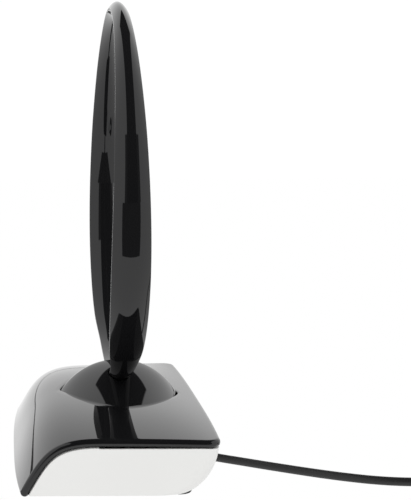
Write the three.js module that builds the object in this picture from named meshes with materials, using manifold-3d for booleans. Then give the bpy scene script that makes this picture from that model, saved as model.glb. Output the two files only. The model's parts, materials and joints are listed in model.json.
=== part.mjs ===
// A table-top television aerial: a closed, lens-edged loop that tilts on a spindle-shaped hub, sunk into a low
// base with a crowned cover, a pale tray under it, and a coaxial lead that leaves low at the rear.
// Millimetres, +Z up, front towards -X, and the loop's plane stands along Y. The table is at Z = 0.
import * as THREE from "three";
import { mergeVertices } from "three/addons/utils/BufferGeometryUtils.js";
import Module from "manifold-3d";

const wasm = await Module();
wasm.setup();

// ---- Driving dimensions. X is measured from the loop's plane, until the whole aerial is shifted by CENTRING.
const GAP = 0.3; // between pieces that touch
const HALF_LENGTH = 111.5; // of the base along Y, at its rear
const FLARE = 0.11; // how much each side closes in towards the front, per millimetre
const FRONT = -59.9; // the nose at the middle of the front edge
const REAR = 44.7; // at the two rear corners
const REAR_BOW = 2.2; // how far the rear edge bows back between them
const CENTRING = -(FRONT + REAR + REAR_BOW) / 2; // puts the base's middle over the origin

// The cover: a plate that runs flat from the rear and rolls down at the front to a nose at the table.
const COVER_THICK = 4.3; // at its open edge
const COVER_SKIN = 2.4; // elsewhere
const TOP_REAR = { x: REAR, z: 29.4 };
const TOP_FRONT = { x: -18, z: 30.1 };
const NOSE = { x: -56.6, z: 3.7 };
const NOSE_SLOPE = { x: 0.51, z: 0.86 }; // the front face's direction, from the nose upwards
const NOSE_REACH = 20; // handle lengths of the curve from the nose to the top
const TOP_REACH = 25;
const TOP_STEPS = 6; // points of the outline along the top
const CROWN = { height: 6.8, x: -22 }; // how much higher the cover stands than at its sides, and where
const BOW = 3; // how far the front edge bows forward
const ROLL_BOW = 4; // how far the top of the roll bows forward besides
const PLAN_CORNER = 8; // radius of the two rear corners, seen from above
const NOSE_CORNER = 4; // how much of the front corners is rounded off

// The tray under it.
const TRAY_WALL = 2.2;
const TRAY_INSET = 0.6; // how far its sides stand behind the cover's edge
const TRAY_BOTTOM = 1;
const TRAY_REAR = { x: 43.9, z: 24.7 };
const TRAY_HEEL = { x: 22, z: TRAY_BOTTOM }; // where the rounded underside meets the flat one
const TRAY_FRONT_WALL = -40; // its top is open behind this
const FLOOR = TRAY_BOTTOM + 2.4; // the tray's inside floor

// The loop.
const LOOP_CENTRE = 149.4; // height
const LOOP_EDGE_RADIUS = 103; // where its two halves meet
const LOOP_BULGE = 4.3; // of each half, outwards or inwards of the edge
const EDGE_FLAT = 0.7;
const LOOP_SEGMENTS = 48;
// The band's width by the angle from the top, in degrees: slim above, broadest low down, narrow in the hub.
const BAND_WIDTHS = [
  [0, 8.8], [25, 9.9], [50, 13.2], [75, 17], [100, 19.8], [120, 20.2], [140, 18.3], [155, 13.9], [180, 12],
];

// The hub: a spindle about an axis along Y.
const AXIS_HEIGHT = 13.3;
const HUB_RADIUS = 39.2; // at its middle
const HUB_TAPER = 18; // how much less it is at HUB_TIP
const HUB_TIP = 50;
const HUB_POWER = 1.4;
const HUB_HALF_LENGTH = 54;
const HUB_SKIN = 2.2;
const HUB_SEGMENTS = 48;
const SKIRT_STEP = 3.4; // the skirt runs this far inside the visible cap
const OPENING_GAP = 0.8;
const CAP_ANGLE = 60; // degrees either side of upright
const SKIRT_ANGLE = 73;

// The pivots.
const PIN_RADIUS = 3;
const SADDLE_INNER = 58; // nearest and furthest Y of each pivot block
const SADDLE_OUTER = 66;

// The lead: centreline points by hand, from the gland to the coil.
const CORD_RADIUS = 2.3;
const RELIEF_ROUTE = [
  [31, -28.2, 9], [36, -30.4, 7.6], [41, -33, 5.5], [45, -35.3, 4], [49, -37.7, 3.2], [52.7, -39.9, 2.85],
];
const CORD_ROUTE = [
  [53, -40.1, 2.8], [58, -43.3, 2.5], [64.5, -48.4, 2.4], [72.2, -55.2, 2.4], [83.8, -65.1, 2.4], [95.2, -74.5, 2.4],
  [106.5, -83.2, 2.4], [117.7, -90.8, 2.4], [128.6, -96.9, 2.4], [140, -101.2, 2.4], [152.5, -103.6, 2.4],
  [166, -104.4, 2.4], [180, -104.1, 2.6], [190, -103.4, 2.8], [199, -103.1, 3],
];
const COIL_CENTRE = { x: 199, y: -66.1 };
const COIL_PITCH = 4.7; // from one turn to the next
const COIL_MIDDLE = 27.6; // radius at the middle of its turns
const COIL_HALF_WIDTH = 2 * COIL_PITCH; // from there to its outermost turn
const COIL_BOTTOM = 3; // height of its lowest turns' centreline
const COIL_OUTER = COIL_MIDDLE + COIL_HALF_WIDTH;
const TAIL_ROUTE = [
  [0, 0, 7.7], [0, 7.4, 7.4], [0, 14.4, 6.5], [0, 21.4, 5.9],
].map(([x, y, z]) => [COIL_CENTRE.x + COIL_OUTER + x, COIL_CENTRE.y + y, z]);
const PLUG_AXIS = { x: COIL_CENTRE.x + COIL_OUTER, y: COIL_CENTRE.y + 21.7, z: 5.8 };

// ---- Materials.
const finish = (color, roughness, metalness = 0) => new THREE.MeshStandardMaterial({ color, roughness, metalness });
const GLOSS_BLACK = finish(0x0b0b0c, 0.08);
const PALE_SHELL = finish(0xe6e6e3, 0.45);
const DARK_RUBBER = finish(0x1a1a1a, 0.9);
const CORD_JACKET = finish(0x202021, 0.55);
const STEEL = finish(0xb4b6b8, 0.35, 1);
const ALUMINIUM = finish(0xc8c9cb, 0.4, 1);
const COPPER = finish(0xb56c3c, 0.35, 1);
const BOARD_GREEN = finish(0x2c5b3a, 0.6);
const FERRITE = finish(0x3a3a3d, 0.7);
const INNER_PLASTIC = finish(0x2a2a2c, 0.6);
const WHITE_NYLON = finish(0xf0efe9, 0.5);

// ---- Solids and shapes.
const aerial = new THREE.Group();
aerial.position.x = CENTRING;

function place(name, shape, material) {
  const piece = new THREE.Mesh(shape.isBufferGeometry ? shape : surfaceOf(shape), material);
  piece.name = name;
  aerial.add(piece);
}

function solidOf(geometry) {
  const bare = geometry.index ? geometry.toNonIndexed() : geometry.clone();
  bare.deleteAttribute("normal");
  bare.deleteAttribute("uv");
  const merged = mergeVertices(bare, 1e-3);
  return new wasm.Manifold(
    new wasm.Mesh({
      numProp: 3,
      vertProperties: merged.attributes.position.array,
      triVerts: new Uint32Array(merged.index.array),
    }),
  );
}

function surfaceOf(solid) {
  const { vertProperties, triVerts } = solid.getMesh();
  return new THREE.BufferGeometry()
    .setAttribute("position", new THREE.BufferAttribute(vertProperties, 3))
    .setIndex(new THREE.BufferAttribute(triVerts, 1));
}

const joined = (first, ...others) => others.reduce((sum, other) => sum.add(other), first);
const without = (first, ...others) => others.reduce((rest, other) => rest.subtract(other), first);

function reshape(geometry, move) {
  const places = geometry.attributes.position;
  const point = new THREE.Vector3();
  for (let i = 0; i < places.count; i++) {
    point.fromBufferAttribute(places, i);
    move(point);
    places.setXYZ(i, point.x, point.y, point.z);
  }
  return geometry;
}

// A box between two corners.
function block([x0, y0, z0], [x1, y1, z1]) {
  const box = new THREE.BoxGeometry(x1 - x0, y1 - y0, z1 - z0);
  return solidOf(box.translate((x0 + x1) / 2, (y0 + y1) / 2, (z0 + z1) / 2));
}

// A turned solid about an upright axis, from [radius, height] points that start and end on the axis or on each other.
function turned(profile, x = 0, y = 0, segments = 24) {
  const points = profile.map(([radius, height]) => new THREE.Vector2(radius, height));
  return solidOf(new THREE.LatheGeometry(points, segments).rotateX(Math.PI / 2).translate(x, y, 0));
}

const post = (radius, z0, z1, x, y, segments = 12) =>
  turned([[0, z0], [radius, z0], [radius, z1], [0, z1]], x, y, segments);

// A turned solid about the hub's axis, from [radius, y] points.
function turnedAlongY(profile, segments = 16) {
  const points = profile.map(([radius, y]) => new THREE.Vector2(radius, y));
  return solidOf(new THREE.LatheGeometry(points, segments).translate(0, 0, AXIS_HEIGHT));
}

// An outline of {x, z} points, drawn out along Y from -half to half.
function drawnAlongY(outline, half, steps = 1) {
  const shape = new THREE.Shape(outline.map(({ x, z }) => new THREE.Vector2(x, z)));
  const solid = new THREE.ExtrudeGeometry(shape, { depth: 2 * half, steps, bevelEnabled: false });
  return solid.translate(0, 0, -half).rotateX(Math.PI / 2);
}

function circle(radius, sides) {
  const points = [];
  for (let i = 0; i < sides; i++) {
    const angle = (i / sides) * 2 * Math.PI;
    points.push(new THREE.Vector2(radius * Math.cos(angle), radius * Math.sin(angle)));
  }
  return new THREE.Shape(points);
}

// A round tube along a smooth curve through the points.
function tube(route, radius, steps, sides = 8) {
  const extrudePath = new THREE.CatmullRomCurve3(route.map((p) => new THREE.Vector3(...p)));
  return new THREE.ExtrudeGeometry(circle(radius, sides), { steps, extrudePath, bevelEnabled: false });
}

function bezier(p0, p1, p2, p3, count) {
  const curve = new THREE.CubicBezierCurve(
    ...[p0, p1, p2, p3].map(({ x, z }) => new THREE.Vector2(x, z)),
  );
  return curve.getPoints(count).map(({ x, y }) => ({ x, z: y }));
}

// The same line, moved to the left of its direction of travel by the distance.
function offset(line, distance) {
  return line.map(({ x, z }, i) => {
    const before = line[Math.max(i - 1, 0)];
    const after = line[Math.min(i + 1, line.length - 1)];
    const length = Math.hypot(after.x - before.x, after.z - before.z);
    return {
      x: x - ((after.z - before.z) / length) * distance,
      z: z + ((after.x - before.x) / length) * distance,
    };
  });
}

// ---- The base's outer surface. Every section along Y is the same side profile; the sides then close in towards
// the front, the front edge bows forward and the top is crowned.
const clamp = (value) => Math.min(Math.max(value, 0), 1);

// Half the base's length at a given X.
const sideAt = (x) => HALF_LENGTH - FLARE * (REAR - PLAN_CORNER - x);

function formed(point) {
  const share = clamp(Math.abs(point.y) / HALF_LENGTH);
  const reach = point.x < CROWN.x ? CROWN.x - FRONT : REAR - CROWN.x;
  const height = CROWN.height * (1 - share ** 2.5) * (1 - clamp(Math.abs(point.x - CROWN.x) / reach) ** 3);
  const forward = clamp((TOP_FRONT.x - point.x) / (TOP_FRONT.x - NOSE.x));
  const rearward = clamp((point.x - TRAY_HEEL.x) / (REAR - TRAY_HEEL.x));
  point.y *= sideAt(point.x) / HALF_LENGTH;
  point.x -= (1 - share ** 3) * (BOW * forward + 4 * ROLL_BOW * forward * (1 - forward));
  point.x += REAR_BOW * (1 - share ** 3) * rearward ** 2;
  point.z += height * (point.z / TOP_FRONT.z) ** 2;
}

// The cover's outer line, from the rear along the top and down the front to the nose.
function coverLine() {
  const top = [];
  for (let i = 0; i < TOP_STEPS; i++) {
    const share = i / TOP_STEPS;
    const fall = (TOP_FRONT.z - TOP_REAR.z) * (1 - share) ** 1.6;
    top.push({ x: TOP_REAR.x + (TOP_FRONT.x - TOP_REAR.x) * share, z: TOP_FRONT.z - fall });
  }
  const front = bezier(
    TOP_FRONT,
    { x: TOP_FRONT.x - TOP_REACH, z: TOP_FRONT.z + 0.3 },
    { x: NOSE.x + NOSE_SLOPE.x * NOSE_REACH, z: NOSE.z + NOSE_SLOPE.z * NOSE_REACH },
    NOSE,
    10,
  );
  return [...top, ...front];
}

// A prism that rounds the corners, seen from above, and follows the sides, all moved inwards by the inset.
function planPrism(inset, rear) {
  const corner = PLAN_CORNER - inset;
  const turn = rear - corner;
  const side = sideAt(turn) - inset;
  const toe = NOSE.x + NOSE_CORNER;
  const plan = new THREE.Shape();
  plan.moveTo(-90, -60);
  plan.lineTo(NOSE.x - BOW, -sideAt(toe) + inset + 3 * NOSE_CORNER);
  plan.quadraticCurveTo(NOSE.x, -sideAt(NOSE.x) + inset, toe, -sideAt(toe) + inset);
  plan.lineTo(turn, -side);
  plan.absarc(turn, -side + corner, corner, -Math.PI / 2, 0);
  plan.quadraticCurveTo(rear + 3 * REAR_BOW, 0, rear, side - corner);
  plan.absarc(turn, side - corner, corner, 0, Math.PI / 2);
  plan.lineTo(toe, sideAt(toe) - inset);
  plan.quadraticCurveTo(NOSE.x, sideAt(NOSE.x) - inset, NOSE.x - BOW, sideAt(toe) - inset - 3 * NOSE_CORNER);
  plan.lineTo(-90, 60);
  return solidOf(
    new THREE.ExtrudeGeometry(plan, { depth: 80, bevelEnabled: false, curveSegments: 6 }).translate(0, 0, -20),
  );
}

const LENGTH_STEPS = 12;

function hubRadius(y) {
  return HUB_RADIUS - HUB_TAPER * (Math.abs(y) / HUB_TIP) ** HUB_POWER;
}

// The hub's outer line moved outwards by the margin, as [radius, y] points.
function hubLine(margin, half = HUB_HALF_LENGTH, count = 12) {
  const line = [];
  for (let i = 0; i <= count; i++) {
    const y = half * ((2 * i) / count - 1);
    line.push([hubRadius(y) + margin, y]);
  }
  return line;
}

const hubRevolve = (margin, half) => turnedAlongY([[0, -half], ...hubLine(margin, half), [0, half]], HUB_SEGMENTS);

function topCover() {
  const outer = coverLine();
  const inner = offset(outer, COVER_THICK).reverse();
  const noseEnd = [];
  const tip = { x: (outer.at(-1).x + inner[0].x) / 2, z: (outer.at(-1).z + inner[0].z) / 2 };
  const start = Math.atan2(outer.at(-1).z - tip.z, outer.at(-1).x - tip.x);
  for (let i = 1; i < 6; i++) {
    const angle = start + (i / 6) * Math.PI;
    noseEnd.push({
      x: tip.x + (COVER_THICK / 2) * Math.cos(angle),
      z: tip.z + (COVER_THICK / 2) * Math.sin(angle),
    });
  }
  const plate = solidOf(reshape(drawnAlongY([...outer, ...noseEnd, ...inner], HALF_LENGTH, LENGTH_STEPS), formed));

  // The underside is hollowed to the skin, inside a rim of full thickness.
  const rim = 5;
  const within = outer.filter(({ x, z }) => x < REAR - rim && z > NOSE.z + rim);
  const hollow = [...offset(within, COVER_SKIN), ...offset(within, COVER_THICK + 1).reverse()];
  const pocket = solidOf(reshape(drawnAlongY(hollow, HALF_LENGTH - rim, LENGTH_STEPS), formed));

  const cover = without(
    plate.intersect(planPrism(0, REAR)),
    pocket,
    hubRevolve(OPENING_GAP, HUB_HALF_LENGTH + 0.5),
  );
  return COVER_SCREWS.reduce((whole, { x, y }) => {
    const pillar = without(post(3.5, 8, 31, x, y, 16), post(1.1, 7, 24, x, y, 12));
    return whole.add(pillar.intersect(plateBelow(outer)));
  }, cover);
}

// Everything under the cover's outer surface, less half its skin.
function plateBelow(outer) {
  const line = offset(outer, COVER_SKIN / 2);
  const under = [...line, { x: line.at(-1).x, z: -5 }, { x: line[0].x, z: -5 }];
  return solidOf(reshape(drawnAlongY(under, HALF_LENGTH, LENGTH_STEPS), formed));
}

const COVER_SCREWS = [[-26, 80], [14, 88]].flatMap(([x, y]) => [-y, y].map((at) => ({ x, y: at })));
const FEET = [[-38, 90], [24.5, 98]].flatMap(([x, y]) => [-y, y].map((at) => ({ x, y: at })));
const BALLAST_SCREWS = [-38, 38].map((y) => ({ x: -34, y }));
const BOARD_SCREWS = [{ x: -17, y: -74 }, { x: 5, y: -93 }];
const SADDLE_SCREWS = [-1, 1].flatMap((side) =>
  [-7.6, 7.6].map((x) => ({ x, y: (side * (SADDLE_INNER + SADDLE_OUTER)) / 2 })),
);
const CLAMP_SCREW = { x: 14.2, y: -54 };

// The tray's outer section, or with an inset its hollow, which then runs up past the open top.
function traySection(inset) {
  const line = offset(coverLine().filter(({ x }) => x <= TRAY_REAR.x), COVER_THICK + GAP + inset);
  const wall = line.filter(({ z }) => z > TRAY_BOTTOM + inset + 0.3);
  const rear = offset(
    bezier(TRAY_REAR, { x: 43.2, z: 15 }, { x: 36.5, z: TRAY_BOTTOM }, TRAY_HEEL, 10),
    inset ? -inset : 0,
  );
  const toe = wall.at(-1);
  const slope = (toe.x - wall.at(-2).x) / (toe.z - wall.at(-2).z);
  const bottom = inset ? FLOOR : TRAY_BOTTOM;
  const foot = { x: toe.x + slope * (bottom - toe.z), z: bottom };
  const front = inset ? wall.filter(({ x }) => x < TRAY_FRONT_WALL) : wall.slice(1);
  const lid = inset ? [{ x: rear[0].x, z: 60 }, { x: front[0].x, z: 60 }] : [];
  return [...lid, ...front, foot, ...rear.filter(({ z }) => z >= bottom).reverse()];
}

function lowerShell() {
  const section = (inset) =>
    solidOf(reshape(drawnAlongY(traySection(inset), HALF_LENGTH, LENGTH_STEPS), formed));
  const outside = section(0).intersect(planPrism(TRAY_INSET, TRAY_REAR.x));
  const hollow = section(TRAY_WALL).intersect(planPrism(TRAY_INSET + TRAY_WALL, TRAY_REAR.x - TRAY_WALL));
  const bosses = [
    ...BALLAST_SCREWS.map(({ x, y }) => post(2.8, FLOOR - 1, 6.7, x, y)),
    ...BOARD_SCREWS.map(({ x, y }) => post(3, FLOOR - 1, 8.7, x, y)),
    ...COVER_SCREWS.map(({ x, y }) => post(5, FLOOR - 1, 7.6, x, y)),
    post(3, FLOOR - 1, 6.4, CLAMP_SCREW.x, CLAMP_SCREW.y),
    ...[-1, 1].map((side) => saddle(side)),
  ];
  const holes = [
    ...BALLAST_SCREWS.map(({ x, y }) => post(1.5, 2.6, 9, x, y, 12)),
    ...BOARD_SCREWS.map(({ x, y }) => post(1.5, 3, 9, x, y, 12)),
    post(1.5, 3, 9, CLAMP_SCREW.x, CLAMP_SCREW.y, 12),
    ...SADDLE_SCREWS.map(({ x, y }) => post(1.5, 6, 14, x, y, 12)),
    ...COVER_SCREWS.flatMap(({ x, y }) => [post(1.8, 0, 9, x, y, 12), post(3.6, 0, 5, x, y, 20)]),
    ...FEET.map(({ x, y }) => post(6.8, -1, 2.9, x, y, 24)),
    solidOf(relief(GAP)),
    pivotBore(),
  ];
  return without(joined(without(outside, hollow), ...bosses), ...holes);
}

const pivotBore = () =>
  turnedAlongY([[0, -80], [PIN_RADIUS + GAP, -80], [PIN_RADIUS + GAP, 80], [0, 80]], 24);

// The moulded lower half of a pivot block, on the front or the rear side along Y.
function saddle(side) {
  const [near, far] = side < 0 ? [-SADDLE_OUTER, -SADDLE_INNER] : [SADDLE_INNER, SADDLE_OUTER];
  return block([-11, near, FLOOR - 1], [11, far, AXIS_HEIGHT - 0.2]);
}

function saddleCap(side) {
  const [near, far] = side < 0 ? [-SADDLE_OUTER, -SADDLE_INNER] : [SADDLE_INNER, SADDLE_OUTER];
  const screwHoles = SADDLE_SCREWS.filter(({ y }) => y * side > 0).map(({ x, y }) => post(1.6, 10, 30, x, y, 12));
  return without(block([-11, near, AXIS_HEIGHT + 0.2], [11, far, AXIS_HEIGHT + 6.4]), pivotBore(), ...screwHoles);
}

// ---- Fasteners: a head and a shank on one upright axis. Turned over, the head is below.
function screw(headRadius, shankRadius, seat, length, { x, y }, headBelow = false) {
  const way = headBelow ? 1 : -1;
  const head = seat - way * 1.7;
  const profile = [
    [0, seat + way * length], [shankRadius, seat + way * length], [shankRadius, seat], [headRadius, seat],
    [headRadius, head + way * 0.5], [headRadius - 0.6, head], [0, head],
  ];
  return turned(headBelow ? profile.reverse() : profile, x, y, 10);
}

// ---- The loop.
function halfWidth(angle) {
  const degrees = THREE.MathUtils.radToDeg(angle);
  const next = Math.max(BAND_WIDTHS.findIndex(([at]) => at >= degrees), 1);
  const widths = BAND_WIDTHS.map(([at, width]) => new THREE.Vector2(at, width));
  const share = (degrees - widths[next - 1].x) / (widths[next].x - widths[next - 1].x);
  const spline = new THREE.SplineCurve(widths);
  return spline.getPoint((next - 1 + share) / (widths.length - 1)).y / 2;
}

// A ring in the loop's plane, from section points [radius, share of the half width].
function ring(section, margin = 0) {
  const points = section.map(([radius, share]) => new THREE.Vector2(radius, share));
  const turn = new THREE.LatheGeometry(points, LOOP_SEGMENTS).rotateZ(-Math.PI / 2);
  const shaped = reshape(turn, (point) => {
    point.x *= halfWidth(Math.atan2(Math.abs(point.y), point.z)) + margin;
  });
  return solidOf(shaped.translate(0, 0, LOOP_CENTRE));
}

// How far the lens section stands from its middle surface, at a share of its half width.
const lensHeight = (share) => EDGE_FLAT + (LOOP_BULGE - EDGE_FLAT) * (1 - share * share);

// One side of the lens section: the far side bulges by `way`, and a pocket holds the conductor.
function bandHalf(way) {
  const shares = [1, 0.75, 0.4, 0, -0.4, -0.75, -1];
  const skin = shares.map((u) => [LOOP_EDGE_RADIUS + way * lensHeight(u), u]);
  const seam = LOOP_EDGE_RADIUS + (way * GAP) / 2;
  const pocket = LOOP_EDGE_RADIUS + way * 2.4;
  const face = [[seam, -1], [seam, -0.72], [pocket, -0.6], [pocket, 0.6], [seam, 0.72], [seam, 1]];
  const section = [...skin, ...face, skin[0]];
  return ring(way > 0 ? section.reverse() : section);
}

// The lens section as one solid, grown by a margin, for cutting clearances.
function loopSpace(margin) {
  const shares = [-1, -0.75, -0.4, 0, 0.4, 0.75, 1];
  const line = (way) =>
    shares.map((u) => [LOOP_EDGE_RADIUS + way * (margin + lensHeight(u)), u]);
  const section = [...line(1), ...line(-1).reverse()];
  return ring([...section, section[0]], margin);
}

const LOOP_FEED_GAP = 5; // half the break in the conductor, at the bottom

function loopConductor() {
  const strip = [[-0.6, -0.45], [0.6, -0.45], [0.6, 0.45], [-0.6, 0.45], [-0.6, -0.45]];
  const whole = ring(strip.map(([radius, share]) => [LOOP_EDGE_RADIUS + radius, share]));
  return whole.subtract(block([-20, -LOOP_FEED_GAP, 30], [20, LOOP_FEED_GAP, 60]));
}

// ---- The hub.
function sector(degrees, half) {
  const rim = [];
  for (let i = -6; i <= 6; i++) {
    const angle = THREE.MathUtils.degToRad((degrees * i) / 6);
    rim.push({ x: 90 * Math.sin(angle), z: 90 * Math.cos(angle) + AXIS_HEIGHT });
  }
  return solidOf(drawnAlongY([{ x: 0, z: AXIS_HEIGHT }, ...rim], half));
}

// A shell between two margins of the hub's surface, within a sector.
function hubLayer(outer, inner, degrees, half = HUB_HALF_LENGTH) {
  const line = [...hubLine(outer, half), ...hubLine(inner, half).reverse()];
  return turnedAlongY([...line, line[0]], HUB_SEGMENTS).intersect(sector(degrees, half + 5));
}

function hubShell() {
  const shoulder = hubLayer(-1, -SKIRT_STEP - 2, CAP_ANGLE).subtract(sector(CAP_ANGLE - 5, 80));
  const skirt = hubLayer(-SKIRT_STEP, -SKIRT_STEP - 2, SKIRT_ANGLE).subtract(sector(CAP_ANGLE - 5, 80));
  return without(joined(hubLayer(0, -HUB_SKIN, CAP_ANGLE), shoulder, skirt), loopSpace(GAP));
}

const HUB_SCREWS = [-12, 12].map((y) => ({ x: 0, y }));

// The frame inside the hub: a beam between the pivots, a cradle for the loop's foot, and end plates for the shell.
function hubFrame() {
  const beam = block([-4.5, -53, AXIS_HEIGHT - 3.8], [4.5, 53, AXIS_HEIGHT + 3.8]);
  const cradle = block([-6, -22, AXIS_HEIGHT + 3], [6, 22, 43.5]);
  const plates = [-1, 1].map((side) => {
    const disc = hubLayer(-HUB_SKIN - GAP, -HUB_RADIUS + 15, 48, 53).intersect(
      block([-60, side < 0 ? -53 : 50, 0], [60, side < 0 ? -50 : 53, 60]),
    );
    return joined(disc, block([-5, side < 0 ? -53 : 50, AXIS_HEIGHT], [5, side < 0 ? -50 : 53, AXIS_HEIGHT + 9]));
  });
  const bores = [-51, 51].map((middle) => {
    const [start, end] = [middle - 8, middle + 8];
    return turnedAlongY([[0, start], [PIN_RADIUS + GAP, start], [PIN_RADIUS + GAP, end], [0, end]]);
  });
  const screwHoles = HUB_SCREWS.flatMap(({ x, y }) => [post(1.5, 5, 50, x, y, 12), post(3, 5, 24.6, x, y, 16)]);
  return without(joined(beam, cradle, ...plates), ...bores, loopSpace(GAP), ...screwHoles);
}

function pivotPin(side) {
  const [near, far] = side < 0 ? [-65, -44] : [44, 65];
  return turnedAlongY([[0, near], [PIN_RADIUS, near], [PIN_RADIUS, far], [0, far]]);
}

function frictionWasher(side) {
  const [near, far] = side < 0 ? [-57.6, -53.4] : [53.4, 57.6];
  const bore = PIN_RADIUS + GAP;
  return turnedAlongY([[bore, near], [6.2, near], [6.2, far], [bore, far], [bore, near]]);
}

// ---- Inside the base.
function ballastPlate() {
  const plate = block([-42, -50, FLOOR + GAP], [16, 50, 7]);
  const corner = block([10, -50.1, 0], [17, -46, 10]);
  return without(plate, corner, ...BALLAST_SCREWS.map(({ x, y }) => post(3.2, 0, 9, x, y)));
}

function circuitBoard() {
  const board = block([-22, -98, 9], [10, -69, 10.6]);
  return without(board, ...BOARD_SCREWS.map(({ x, y }) => post(1.6, 8, 12, x, y, 12)));
}

const CORE = { x: -8, y: -86, low: 10.9 };

function ferriteCore() {
  const core = block([CORE.x - 6, CORE.y - 7, CORE.low], [CORE.x + 6, CORE.y + 7, CORE.low + 7.5]);
  const bore = (side) =>
    solidOf(tube([[CORE.x - 9, CORE.y + side * 3.4, 14.6], [CORE.x + 9, CORE.y + side * 3.4, 14.6]], 1.9, 1, 12));
  return without(core, bore(-1), bore(1));
}

// Enamelled wire, through one bore of the core, round the end and back through the other.
function coreWinding() {
  return tube(
    [
      [CORE.x + 12, CORE.y - 3.4, 11.8], [CORE.x + 8, CORE.y - 3.4, 14.3], [CORE.x, CORE.y - 3.4, 14.6],
      [CORE.x - 6.5, CORE.y - 3.4, 14.6], [CORE.x - 9, CORE.y, 14.6], [CORE.x - 6.5, CORE.y + 3.4, 14.6],
      [CORE.x, CORE.y + 3.4, 14.6], [CORE.x + 8, CORE.y + 3.4, 14.3], [CORE.x + 12, CORE.y + 3.4, 11.8],
    ],
    0.7, 18, 6,
  );
}

const INNER_LEAD = [
  [28.6, -27.1, 9.7], [25.5, -27.6, 10.2], [23, -31, 10.1], [22.2, -37, 9.6], [21.4, -45, 8.8], [20, -54, 8],
  [17, -64, 9.6], [10, -74, 13], [1, -78, 14],
];

const innerLead = () => solidOf(tube(INNER_LEAD, CORD_RADIUS, 24)).subtract(block([26.4, -60, 0], [50, 0, 40]));

function cordClamp() {
  const arch = block([11, -57, 6.7], [25.4, -51, 13]);
  return without(
    arch.subtract(block([10, -58, 9.2], [17.3, -50, 14])),
    solidOf(tube(INNER_LEAD, CORD_RADIUS + GAP, 30, 12)),
    block([17.3, -58, 0], [22.9, -50, 7.8]),
    post(1.6, 0, 20, CLAMP_SCREW.x, CLAMP_SCREW.y, 12),
  );
}

// ---- The lead.
// The gland that grips the lead in the tray's wall and tapers along it, optionally grown by a margin.
function relief(margin = 0) {
  const sleeve = tube(RELIEF_ROUTE, 1, 14, 12);
  const start = RELIEF_ROUTE[0][0];
  const run = RELIEF_ROUTE.at(-1)[0] - start;
  const curve = new THREE.CatmullRomCurve3(RELIEF_ROUTE.map((p) => new THREE.Vector3(...p)));
  const stations = curve.getSpacedPoints(14);
  return reshape(sleeve, (point) => {
    const centre = stations.reduce((best, s) => (s.distanceTo(point) < best.distanceTo(point) ? s : best));
    const radius = 3.5 - 0.9 * ((centre.x - start) / run) + margin;
    point.sub(centre).setLength(Math.min(point.length(), 1.0001) > 0.5 ? radius : 0).add(centre);
  });
}

function strainRelief() {
  const flange = solidOf(tube([[28.2, -26.9, 9.8], [31.3, -28.35, 8.95]], 3.7, 1, 16));
  return joined(solidOf(relief()), flange);
}

function cordCoil(margin = 0) {
  const inner = COIL_MIDDLE - COIL_HALF_WIDTH - CORD_RADIUS - margin;
  const outer = COIL_OUTER + CORD_RADIUS + 0.1 + margin;
  const low = COIL_BOTTOM - CORD_RADIUS - margin;
  const high = COIL_BOTTOM + COIL_PITCH + CORD_RADIUS + margin;
  return turned(
    [[inner, low], [outer, low], [outer, high], [inner, high], [inner, low]], COIL_CENTRE.x, COIL_CENTRE.y, 32,
  );
}

// A flat strap round the coil's bundle of turns, on the side away from the base.
function coilTie() {
  const low = COIL_BOTTOM - CORD_RADIUS - GAP;
  const high = COIL_BOTTOM + COIL_PITCH + CORD_RADIUS + GAP;
  const near = COIL_CENTRE.y + COIL_MIDDLE - COIL_HALF_WIDTH - CORD_RADIUS - 1;
  const far = COIL_CENTRE.y + COIL_OUTER + CORD_RADIUS + 0.1 + GAP;
  const strap = 0.35;
  const { x } = COIL_CENTRE;
  const outside = block([x - 4, near - strap, low - strap], [x + 4, far + strap, high + strap]);
  return outside.subtract(block([x - 5, near, low], [x + 5, far, high]));
}

// Turned about the plug's own axis, which runs along Y, from [radius, distance past the neck] points.
function onPlug(profile, segments = 16) {
  const points = profile.map(([radius, y]) => new THREE.Vector2(radius, y));
  return solidOf(new THREE.LatheGeometry(points, segments).translate(PLUG_AXIS.x, PLUG_AXIS.y, PLUG_AXIS.z));
}

const plugBody = () =>
  onPlug([[0, 0], [2.9, 0], [3.4, 6], [5, 9], [5.5, 11], [5.5, 30], [5.1, 31], [4.4, 31], [4.4, 25], [0, 25]]);
const plugSleeve = () =>
  onPlug([
    [3.6, 25.3], [4.1, 25.3], [4.1, 33], [4.7, 33.6], [4.7, 41], [4.2, 41.6], [3.6, 41.6], [3.6, 25.3],
  ]);
const plugInsulator = () => onPlug([[1.5, 25.3], [3.3, 25.3], [3.3, 32], [1.5, 32], [1.5, 25.3]]);
const plugPin = () => onPlug([[0, 25.3], [1.17, 25.3], [1.17, 40], [0.6, 41], [0, 41]], 16);

// ---- The assembly: what stays on the table.
const SIDES = [["near", -1], ["far", 1]];

place("top_cover", topCover(), GLOSS_BLACK);
place("lower_shell", lowerShell(), PALE_SHELL);
place("ballast_plate", ballastPlate(), STEEL);
place("circuit_board", circuitBoard(), BOARD_GREEN);
place("transformer_core", ferriteCore(), FERRITE);
place("transformer_winding", coreWinding(), COPPER);
place("inner_lead", innerLead(), CORD_JACKET);
place("cord_clamp", cordClamp(), INNER_PLASTIC);
place("clamp_screw", screw(2.6, 1.2, 9.5, 5.6, CLAMP_SCREW), STEEL);
for (const [name, side] of SIDES) place(`pivot_cap_${name}`, saddleCap(side), INNER_PLASTIC);
SADDLE_SCREWS.forEach((at, i) => place(`pivot_screw_${i + 1}`, screw(2.6, 1.2, AXIS_HEIGHT + 6.7, 12, at), STEEL));
BALLAST_SCREWS.forEach((at, i) => place(`ballast_screw_${i + 1}`, screw(4, 1.2, 7.3, 4, at), STEEL));
BOARD_SCREWS.forEach((at, i) => place(`board_screw_${i + 1}`, screw(2.6, 1.2, 10.9, 6, at), STEEL));
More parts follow.
